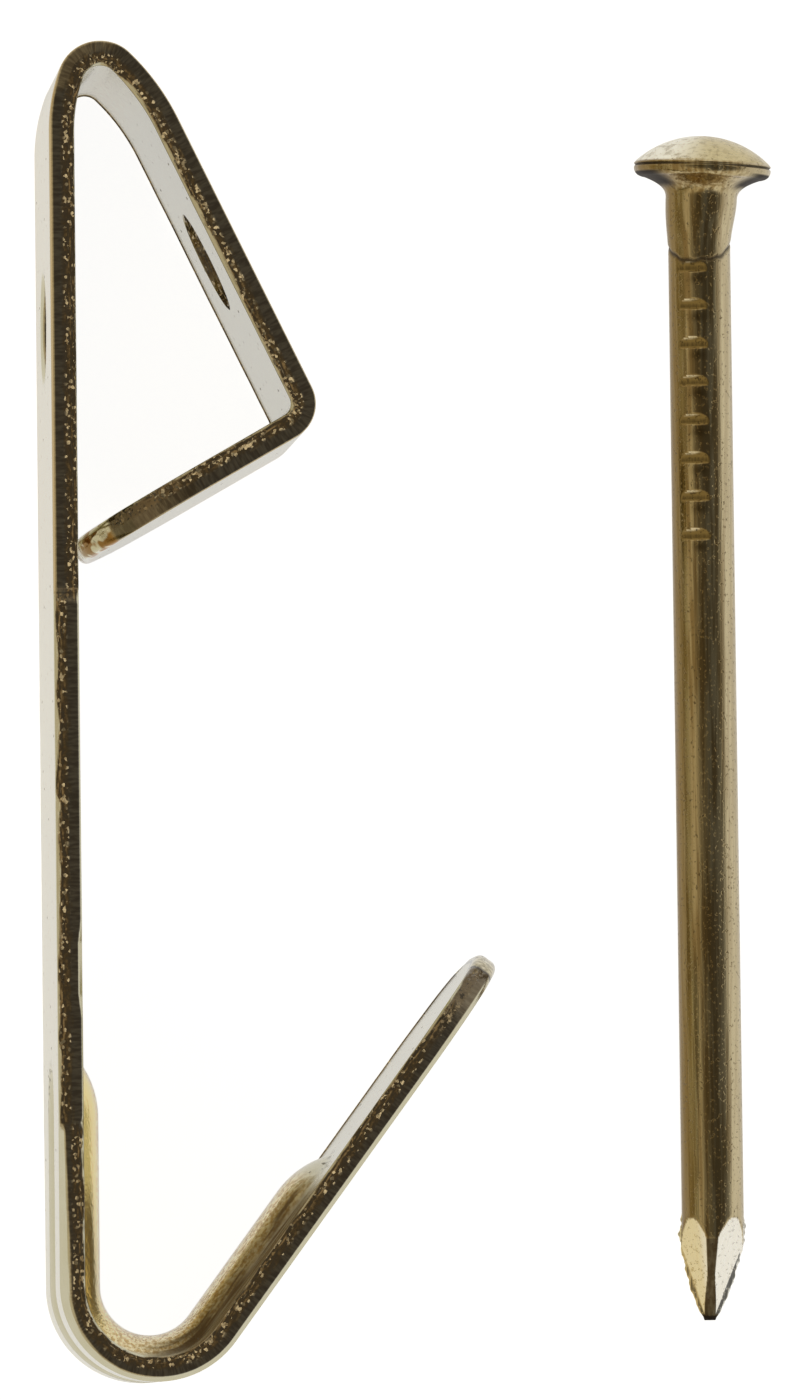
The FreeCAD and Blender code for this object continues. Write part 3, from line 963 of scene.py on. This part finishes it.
def point_radius(axial, angle, plain):
    """The shank cut by four facets and two narrow ridge flats, with a ragged fin on each side."""
    local = angle - point_turn
    off_fin = np.maximum(np.abs(np.sin(local)), least)
    off_ridge = np.maximum(np.abs(np.cos(local)), least)
    from_facet = (local % (math.pi / 2)) - math.pi / 4
    radius = np.minimum(plain, (tip_radius + axial * point_slope) / np.cos(from_facet))
    radius = np.minimum(radius, ridge_height(axial) / off_fin)
    swelling = fin_tip_radius + (fin_radius - fin_tip_radius) * axial / fin_from_tip
    fading = (axial - fin_from_tip) / (facet_length - fin_from_tip)
    rise = np.minimum(swelling, fin_radius + (shank_radius - fin_radius) * fading)
    rise = np.minimum(rise, np.sqrt(np.maximum(axial, 0.01) * fin_tip_swell))
    ragged = 1 + long_rag[0] * np.sin(axial * long_rag[1] + local)
    ragged = ragged + short_rag[0] * np.sin(axial * short_rag[1])
    fin = np.minimum(rise * ragged / off_ridge, fin_half_thickness / off_fin)
    return np.where(axial < facet_length, np.maximum(radius, fin), plain)


def struck_lines(axial, angle):
    """Grooves of the heading dies: a wavy one at the end of the collar, and one under the dome."""
    line = collar_foot + collar_line_rise - collar_line_swing * np.cos(angle - view_side)
    for size, waves in collar_line_waves:
        line = line + size * np.sin(waves * angle)
    collar = collar_line_depth * np.exp(-((axial - line) / collar_line_width) ** 2)
    depth = dome_line_depth + dome_line_wave[0] * np.sin(dome_line_wave[1] * angle)
    dome = depth * np.exp(-((axial - rim_top + dome_line_drop) / dome_line_width) ** 2)
    return np.where(axial < collar_top, collar, np.where(axial < rim_top - rim_round, dome, 0))


axial, angle = np.meshgrid(ring_axial, ring_angles, indexing="ij")
plain = np.repeat(ring_radius[:, None], len(ring_angles), 1)
lines = struck_lines(axial, angle)
skin = point_radius(axial, angle, plain) - lines
print("widest at the fins, mm:", round(2 * float(skin[axial < facet_length].max()), 2))

# %% Skin of the nail
across = skin * np.cos(angle) - point_shift * np.maximum(1 - axial / facet_length, 0)
upward = skin * np.sin(angle)
swing = head_skew * smooth_step(collar_foot, collar_top, axial)
past_collar = axial - collar_foot
nail_points = np.stack([across * np.cos(swing) + past_collar * np.sin(swing),
                        collar_foot + past_collar * np.cos(swing) - across * np.sin(swing), upward], -1)
ring_count, ring_size = axial.shape
nail_faces = band_faces(0, ring_count, ring_size)
nail_faces.append(tuple(range(ring_size)))
nail_faces.append(tuple((ring_count - 1) * ring_size + i for i in range(ring_size)))
nail_skin = bpy.data.meshes.new("nail_skin")
nail_skin.from_pydata((nail_points.reshape(-1, 3) * MM).tolist(), [], nail_faces)
print("faces of the nail:", len(nail_faces))

# %% Shares for the nail's plating
grip_marks = {"Pitch": 1.48, "Depth": 0.16, "Length": 0.42, "Shank radius": shank_radius}
grip_count = 8
grip_turn = math.radians(20.0)
first_foot = nail_length - 5.25
last_foot = first_foot - (grip_count - 1) * grip_marks["Pitch"]
cut_depth = 0.02
darkened_depth = 0.05
line_darkening = 0.7
ridge_darkening = 0.6
dark_tip_length = 0.2
rim_hollow = (0.54, 0.66)
rim_sides = (0.6, 0.85)

on_point = axial < facet_length
off_fins = np.abs(np.sin(angle - point_turn)) * skin
on_facet = (skin < plain - cut_depth) & on_point
on_ridge = on_facet & (off_fins >= ridge_height(axial) - cut_depth / 2)
on_fin = on_point & (off_fins < fin_half_thickness + cut_depth)
# Painted shade under the rim of the head, at both sides
rim_shade = smooth_step(*rim_hollow, plain / head_radius) * smooth_step(*rim_sides, np.abs(np.cos(angle)))
rim_shade = rim_shade * (axial > collar_top) * (axial < rim_foot + rim_low_round / 2)
in_lines = np.clip(lines / darkened_depth, 0, 1)
darkening_and_rim_shade = line_darkening * in_lines + ridge_darkening * on_ridge + rim_shade + (axial < dark_tip_length)

# Painted shade lies below the foot of each grip mark, on the side in view
shade_below_share = 0.7
shade_below_drop = 0.3
shade_below_length = 0.2
shade_below_at = math.pi / 2 + grip_turn - 0.15
shade_below_width = 0.25
below_foot = (first_foot - axial) % grip_marks["Pitch"]
shade_below_mark = shade_below_share * (axial < first_foot) * (axial > last_foot - 1.0)
shade_below_mark = shade_below_mark * np.exp(-((below_foot - shade_below_drop) / shade_below_length) ** 2)
shade_below_mark = shade_below_mark * np.exp(-((angle - shade_below_at) / shade_below_width) ** 2)
nail_shares = {"darkened_and_rim_shaded": np.clip(darkening_and_rim_shade, 0, 1), "pinched": (on_facet | on_fin) & ~on_ridge,
               "dome": axial > rim_top, "shade_below_mark": shade_below_mark, "to_right": np.cos(angle)}
for name, values in nail_shares.items():
    keep_values(nail_skin, name, values)
close_skin(nail_skin, skin_merge)

# %% [markdown]
# Brass plating on the drawn nail.
#
# Drawing the wire leaves fine lines along the shank, and plating leaves pits. The struck dome is mottled and
# painted lighter on its left, the facets are cut clean and painted brighter on their right, and the struck
# lines, the ridges and the tip are darker, with painted shade under the rim. The nail has no lacquer. Its
# left side carries painted warm shade and its right side a painted highlight; each grip mark has painted
# shade below it and a painted highlight on its floor.

# %% Patterns of the nail
nail_plating = bpy.data.materials.new("brass_plated_drawn_steel")
wire = empty_tree(nail_plating)
nail_place = add(wire, "ShaderNodeTexCoord", out="Object")
nail_share = {name: add(wire, "ShaderNodeAttribute", out="Fac", attribute_name=name)
              for name in (*nail_shares, "bitten", "bright_floor")}

# Sizes in mm across, along and up. The drawing lines are drawn coarser than real ones, so that they show
nail_noise, nail_pattern = sized_patterns(wire, nail_place, MM, (
    ("drawn", (0.18, 7.0, 0.18), 2.0, (0.38, 0.62)),
    ("struck", (0.30, 0.30, 0.30), 3.0, (0.45, 0.70)),
    ("pitted", (0.13, 0.13, 0.13), 2.0, (0.58, 0.74)),
))
# Shares by side that paint light and shade, and the highlight on the floors of the bites
sides = {}
for name, value, low, high, least_share, most_share in (
        ("left_shade_tint", nail_share["to_right"], -0.85, -0.45, 0.8, 0.0),
        ("pale", nail_share["to_right"], 0.35, 0.75, 0.0, 0.6),
        ("right", nail_share["to_right"], -0.75, 0.1, 0.0, 1.0),
        ("bright_arc", nail_share["bright_floor"], 0.25, 0.70, 0.0, 1.0)):
    sides[name] = add(wire, "ShaderNodeMapRange",
                      {"Value": value, "From Min": low, "From Max": high,
                       "To Min": least_share, "To Max": most_share}, interpolation_type="SMOOTHSTEP")
print("material:", nail_plating.name, "patterns:", list(nail_pattern))

# %% Colours of the nail
cloud_share = 0.5
clouds = add(wire, "ShaderNodeMath", {0: nail_pattern["struck"], 1: cloud_share}, operation="MULTIPLY")
worn = add(wire, "ShaderNodeMath", {0: nail_share["dome"], 1: nail_share["pinched"]}, operation="MAXIMUM")
pit_share = add(wire, "ShaderNodeMapRange", {"Value": worn, "To Min": 0.7, "To Max": 0.1})
pits = add(wire, "ShaderNodeMath", {0: nail_pattern["pitted"], 1: pit_share}, operation="MULTIPLY")
coats = {}
for name, over, low, high in (
        ("shank", nail_pattern["drawn"], "#9e8658", "#c8b588"),
        # Painted light by side: the dome lighter on its left, the cut facets lighter on their right
        ("dome", sides["right"], "#fffae6", "#d6c79a"),
        ("cut", sides["right"], "#f2e0ae", "#fffaec"),
        ("dome", clouds, "dome", "#9a8862"),
        # Painted warm shade on the left of the shank
        ("shank", sides["left_shade_tint"], "shank", "#866c3a"),
        # Painted highlight along the right of the shank
        ("shank", sides["pale"], "shank", "#d4c8a8"),
        # Painted shade below each grip mark
        ("shank", nail_share["shade_below_mark"], "shank", "#5a4626"),
        # The bites are painted a little darker, as shade inside them
        ("shank", nail_share["bitten"], "shank", "#96804f"),
        # Painted highlight on the upper floor of each bite, stronger towards the left
        ("shank", sides["bright_arc"], "shank", "#fff4d6"),
        ("nail", nail_share["dome"], "shank", "dome"),
        ("nail", nail_share["pinched"], "nail", "cut"),
        ("nail", pits, "nail", "#7d6840"),
        # Darker in the struck lines, on the ridges and at the tip, and painted shade under the rim
        ("nail", nail_share["darkened_and_rim_shaded"], "nail", "#2e2010")):
    ends = [coats[end] if end in coats else hex_colour(end) for end in (low, high)]
    coats[name] = add(wire, "ShaderNodeMix", {0: over, COLOUR_A: ends[0], COLOUR_B: ends[1]},
                      COLOUR_OUT, data_type="RGBA")
print("coats:", list(coats))

# %% Shine and relief of the nail
# Polished metal all over, but dull where it is darkened and where shade is painted under the rim
nail_relief_height = 0.02
nail_metal = add(wire, "ShaderNodeMapRange", {"Value": nail_share["darkened_and_rim_shaded"], "To Min": 1.0, "To Max": 0.2})
nail_rough = add(wire, "ShaderNodeMapRange", {"Value": nail_share["darkened_and_rim_shaded"], "To Min": 0.2, "To Max": 0.6})
dents = add(wire, "ShaderNodeMath", {0: nail_noise["struck"], 1: nail_share["dome"]}, operation="MULTIPLY")
relief = add(wire, "ShaderNodeMath", {0: nail_noise["drawn"], 1: nail_pattern["pitted"]},
             operation="SUBTRACT")
relief = add(wire, "ShaderNodeMath", {0: dents, 1: 1.5, 2: relief}, operation="MULTIPLY_ADD")
nail_bump = add(wire, "ShaderNodeBump",
                {"Height": relief, "Strength": 0.7, "Distance": nail_relief_height * MM})
nail_surface = add(wire, "ShaderNodeBsdfPrincipled",
                   {"Base Color": coats["nail"], "Metallic": nail_metal, "Roughness": nail_rough,
                    "Normal": nail_bump})
add(wire, "ShaderNodeOutputMaterial", {"Surface": nail_surface}, None)
print("nodes in the nail's plating:", len(wire.nodes))

# %% [markdown]
# Grip marks.
#
# The dies that hold the wire while its head is struck bite into it, which leaves two rows of crescents that
# later grip the wall. Each has a steep foot and a floor that curves up towards the head. They repeat at one
# pitch, so a tree works out where each point lies within its pitch and pushes it down to the floor there.
# Sixteen booleans would do the same more slowly, and would leave long thin faces.

# %% The grip tree
floor_curve = 3.0
bright_run = (-0.1, 0.3)
bright_right = 0.4


def grip_tree():
    tree = bpy.data.node_groups.new("press_grip_marks", "GeometryNodeTree")
    tree.interface.new_socket("Nail", in_out="INPUT", socket_type="NodeSocketGeometry")
    for name in ("Pitch", "Depth", "Length", "Shank radius", "Last foot", "First foot", "Turn"):
        tree.interface.new_socket(name, in_out="INPUT", socket_type="NodeSocketFloat")
    tree.interface.new_socket("Plating", in_out="INPUT", socket_type="NodeSocketMaterial")
    tree.interface.new_socket("Marked", in_out="OUTPUT", socket_type="NodeSocketGeometry")
    given = add(tree, "NodeGroupInput", out=None)
    place = add(tree, "GeometryNodeInputPosition")
    turned = add(tree, "ShaderNodeVectorRotate", {"Vector": place, "Angle": given["Turn"]},
                 rotation_type="Y_AXIS")
    local = add(tree, "ShaderNodeSeparateXYZ", {0: turned}, None)

    # The floor of the mark at this place in its pitch
    above = add(tree, "ShaderNodeMath", {0: local["Y"], 1: given["Last foot"]}, operation="SUBTRACT")
    in_pitch = add(tree, "ShaderNodeMath", {0: above, 1: given["Pitch"]}, operation="FLOORED_MODULO")
    share = add(tree, "ShaderNodeMath", {0: in_pitch, 1: given["Length"]}, operation="DIVIDE")
    curve = add(tree, "ShaderNodeMath", {0: share, 1: floor_curve}, operation="POWER")
    bottom = add(tree, "ShaderNodeMath", {0: given["Shank radius"], 1: given["Depth"]}, operation="SUBTRACT")
    floor = add(tree, "ShaderNodeMath", {0: given["Depth"], 1: curve, 2: bottom}, operation="MULTIPLY_ADD")

    # Points that stand proud of it, in the rows
    top = add(tree, "ShaderNodeMath", {0: given["First foot"], 1: given["Length"]}, operation="ADD")
    past_last = add(tree, "ShaderNodeMath", {0: above, 1: -1e-7}, operation="GREATER_THAN")
    below_top = add(tree, "ShaderNodeMath", {0: local["Y"], 1: top}, operation="LESS_THAN")
    height = add(tree, "ShaderNodeMath", {0: local["Z"]}, operation="ABSOLUTE")
    bitten = add(tree, "ShaderNodeMath", {0: height, 1: floor}, operation="GREATER_THAN")
    for limit in (past_last, below_top):
        bitten = add(tree, "ShaderNodeMath", {0: bitten, 1: limit}, operation="MULTIPLY")

    # The plating's shares are stored first, because after the move no point stands proud of a floor
    # The bright share paints a highlight on the upper floor of each bite, weaker towards the right
    low, high = bright_run
    to_left = add(tree, "ShaderNodeMapRange",
                  {"Value": local["X"], "From Min": low * MM, "From Max": high * MM,
                   "To Min": 1.0, "To Max": bright_right})
    bright = bitten
    for part in (curve, to_left):
        bright = add(tree, "ShaderNodeMath", {0: bright, 1: part}, operation="MULTIPLY")
    stored = given["Nail"]
    for name, value in (("bitten", bitten), ("bright_floor", bright)):
        stored = add(tree, "GeometryNodeStoreNamedAttribute",
                     {"Geometry": stored, "Name": name, "Value": value}, data_type="FLOAT", domain="POINT")

    side = add(tree, "ShaderNodeMath", {0: local["Z"]}, operation="SIGN")
    lowered = add(tree, "ShaderNodeMath", {0: side, 1: floor}, operation="MULTIPLY")
    marked = add(tree, "ShaderNodeCombineXYZ", {"X": local["X"], "Y": local["Y"], "Z": lowered})
    marked = add(tree, "ShaderNodeVectorRotate", {"Vector": marked, "Angle": given["Turn"]},
                 rotation_type="Y_AXIS", invert=True)
    moved = add(tree, "GeometryNodeSetPosition",
                {"Geometry": stored, "Selection": bitten, "Position": marked})
    real = add(tree, "GeometryNodeRealizeInstances", {0: moved})
    finished = add(tree, "GeometryNodeSetMaterial", {"Geometry": real, "Material": given["Plating"]})
    add(tree, "NodeGroupOutput", {0: finished}, None)
    return tree


settings = {name: value * MM for name, value in grip_marks.items()}
settings |= {"Last foot": last_foot * MM, "First foot": first_foot * MM, "Turn": grip_turn}
settings["Plating"] = nail_plating
nail = apply_tree(nail_skin, grip_tree(), settings, "nail_body")
print("grip marks in two rows of", grip_count)

# %% [markdown]
# Lay the nail down.
#
# The nail was drawn upright along Y. On the table it rests on the rim of its head and the end of its shank,
# and the mount on its shank says where that is and which way the nail points. The move goes into the mesh,
# because a finished piece sits at the origin, unturned.

# %% Place the nail by its mount
shank_mount = next(mount for mount in frame["record"]["mounts"] if mount["name"] == "nail_shank")
mount_from_tip = 20.0
way = -Vector(shank_mount["axis"]).normalized()
side = way.cross(Vector((0, 0, 1))).normalized()
lift = side.cross(way)
tip = Vector(shank_mount["pos_m"]) - way * mount_from_tip * MM
nail.data.transform(Matrix((side, way, lift)).transposed().to_4x4())
nail.data.transform(Matrix.Translation(tip))
close_skin(nail.data, skin_merge)
corners = np.array([vertex.co for vertex in nail.data.vertices])
nail_low, nail_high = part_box("nail")
print("nail, mm:", np.round((corners.max(0) - corners.min(0)) / MM, 3),
      "off the solid's corners by", np.round((corners.min(0) - np.array(nail_low)) / MM, 3),
      np.round((corners.max(0) - np.array(nail_high)) / MM, 3))

# %% [markdown]
# The table.
#
# The pair lies on white matt paper. In the picture and in the metal's reflections the paper glows enough to
# be white, while light that falls on the object stays plain, and the paper keeps the object's shadow.

# %% White paper
table_size = 1.5
paper_seen = 0.92
paper_mirrored = 0.60
half = table_size / 2
table_mesh = bpy.data.meshes.new("table")
table_mesh.from_pydata([(-half, -half, 0), (half, -half, 0), (half, half, 0), (-half, half, 0)], [],
                       [(0, 1, 2, 3)])
table = bpy.data.objects.new("table", table_mesh)
bpy.context.scene.collection.objects.link(table)
paper = bpy.data.materials.new("white_matt_paper")
sheet_tree = empty_tree(paper)
rays = add(sheet_tree, "ShaderNodeLightPath", out=None)
mirrored = add(sheet_tree, "ShaderNodeMath", {0: rays["Is Glossy Ray"], 1: rays["Is Transmission Ray"]},
               operation="MAXIMUM")
mirrored = add(sheet_tree, "ShaderNodeMath", {0: mirrored, 1: paper_mirrored}, operation="MULTIPLY")
seen = add(sheet_tree, "ShaderNodeMath", {0: rays["Is Camera Ray"], 1: paper_seen}, operation="MULTIPLY")
fill = add(sheet_tree, "ShaderNodeMath", {0: seen, 1: mirrored}, operation="MAXIMUM")
matt = add(sheet_tree, "ShaderNodeBsdfDiffuse", {"Color": hex_colour("#d2d2d0")})
glow = add(sheet_tree, "ShaderNodeEmission", {"Color": (1.0, 1.0, 1.0, 1.0), "Strength": fill})
both = add(sheet_tree, "ShaderNodeAddShader", {0: matt, 1: glow})
add(sheet_tree, "ShaderNodeOutputMaterial", {"Surface": both}, None)
table_mesh.materials.append(paper)
print("table, m:", table_size)

# %% [markdown]
# The light.
#
# A photographer lays small bright metal in a tent of cloth. This one is open at the top, so what faces up
# mirrors a dark opening, and what faces sideways mirrors bright cloth or the table. The cloth is warmer on
# the left. A world does this with no lamps: brightness depends only on the height above the horizon.

# %% Tent
warm_side = ((0.0, 0.58), (0.66, 0.56), (0.82, 0.28), (0.92, 0.17), (0.98, 0.11))
cool_side = ((0.0, 0.85), (0.30, 0.80), (0.50, 0.28), (0.66, 0.14), (0.95, 0.10))
warm_tint = (1.0, 0.88, 0.66)
cool_tint = (1.0, 1.0, 1.0)
seam = 0.15
world = bpy.data.worlds.new("soft_tent")
bpy.context.scene.world = world
tent = empty_tree(world)
direction = add(tent, "ShaderNodeTexCoord", out="Generated")
way_to = add(tent, "ShaderNodeSeparateXYZ", {0: direction}, None)
panels = []
for stops, tint in ((warm_side, warm_tint), (cool_side, cool_tint)):
    panel = add(tent, "ShaderNodeValToRGB", {"Fac": way_to["Z"]})
    elements = panel.node.color_ramp.elements
    while len(elements) < len(stops):
        elements.new(0.5)
    for element, (height, level) in zip(elements, stops):
        element.position = height
        element.color = (*(level * channel for channel in tint), 1.0)
    panels.append(panel)
to_right = add(tent, "ShaderNodeMapRange", {"Value": way_to["X"], "From Min": -seam, "From Max": seam},
               interpolation_type="SMOOTHSTEP")
cloth = add(tent, "ShaderNodeMix", {0: to_right, COLOUR_A: panels[0], COLOUR_B: panels[1]},
            COLOUR_OUT, data_type="RGBA")
cloth = add(tent, "ShaderNodeBackground", {"Color": cloth, "Strength": 1.0})
add(tent, "ShaderNodeOutputWorld", {"Surface": cloth}, None)
print("panels of the tent:", len(panels))

# %% [markdown]
# The camera.
#
# The photo was taken from above, a little from the left and from below, through a long lens. The place and
# the turn were found by laying the render over the photo, so they are plain numbers here.

# %% Camera
camera_at = Vector((-40.349, -27.964, 547.330)) * MM
camera_aim = Vector((-0.949, 0.603, 6.0)) * MM
camera_roll = -0.01106
lens_mm = 365.08
camera = bpy.data.objects.new("camera", bpy.data.cameras.new("camera"))
bpy.context.scene.collection.objects.link(camera)
camera.data.lens = lens_mm
camera.data.sensor_width = 36.0
camera.data.clip_start = 0.01
ahead = (camera_aim - camera_at).normalized()
right = ahead.cross(Vector((0, 1, 0))).normalized()
top = right.cross(ahead)
rolled_right = right * math.cos(camera_roll) + top * math.sin(camera_roll)
rolled_top = top * math.cos(camera_roll) - right * math.sin(camera_roll)
turned = Matrix((rolled_right, rolled_top, -ahead)).transposed().to_4x4()
camera.matrix_world = Matrix.Translation(camera_at) @ turned
bpy.context.scene.camera = camera
bpy.context.scene.view_settings.view_transform = "Standard"
print("camera above the table, m:", round(camera_at.z, 3))

# %% [markdown]
# Put the pieces on the body.
#
# Each piece rides on the one body of the part, and its solid is hidden so that the piece stands for it.

# %% Ride and replace
for piece, node, slot in ((hook, "hook", "plated_strip"), (nail, "nail", "plated_nail")):
    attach(piece, "root")
    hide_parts(node)
